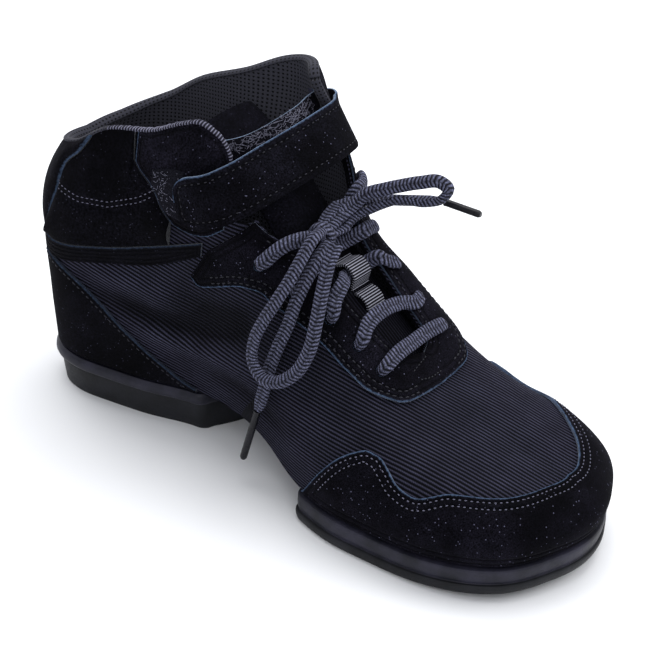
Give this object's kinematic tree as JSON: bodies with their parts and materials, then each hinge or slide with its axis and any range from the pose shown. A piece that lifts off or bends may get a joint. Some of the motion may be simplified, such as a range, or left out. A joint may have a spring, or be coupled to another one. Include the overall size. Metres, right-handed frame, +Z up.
{
  "type": "split sole dance sneaker",
  "caption": "Right high-top dance sneaker with split sole, suede overlays, laced throat and ankle strap.",
  "frame": {"origin": "on the floor under the middle of the heel's tread", "axes": "+Z up, +Y towards the toe, +X to the wearer's right, the outer side of this right shoe"},
  "size_m": [0.1088, 0.2649, 0.1603],
  "materials": {
    "twill_canvas": "ribbed, dull",
    "suede": "napped, dull",
    "sole_rubber": "satin",
    "lining_textile": "mesh, dull",
    "lace_braid": "braided",
    "aglet_plastic": "glossy"
  },
  "bodies": {
    "root": {"upper": "twill_canvas", "outsole_forefoot": "sole_rubber", "outsole_heel": "sole_rubber", "insole": "lining_textile", "toe_cap": "suede", "heel_counter": "suede", "collar_band": "suede", "heel_tab": "suede", "collar_outer": "suede", "collar_inner": "suede", "eyestay": "suede", "ear_outer": "suede", "ear_inner": "suede", "loop_patch": "lining_textile", "tongue": "twill_canvas", "ankle_strap": "suede", "lace_bar_2": "lace_braid", "lace_bar_3": "lace_braid", "lace_bar_4": "lace_braid", "lace_bar_5": "lace_braid", "lace_run_outer": "lace_braid", "lace_run_inner": "lace_braid", "lace_knot": "lace_braid", "lace_loop_near": "lace_braid", "lace_loop_far": "lace_braid", "lace_end_near": "lace_braid", "lace_end_far": "lace_braid", "aglet_near": "aglet_plastic", "aglet_far": "aglet_plastic", "tongue_keeper_upper": "lace_braid", "tongue_keeper_lower": "lace_braid"}
  },
  "joints": []
}
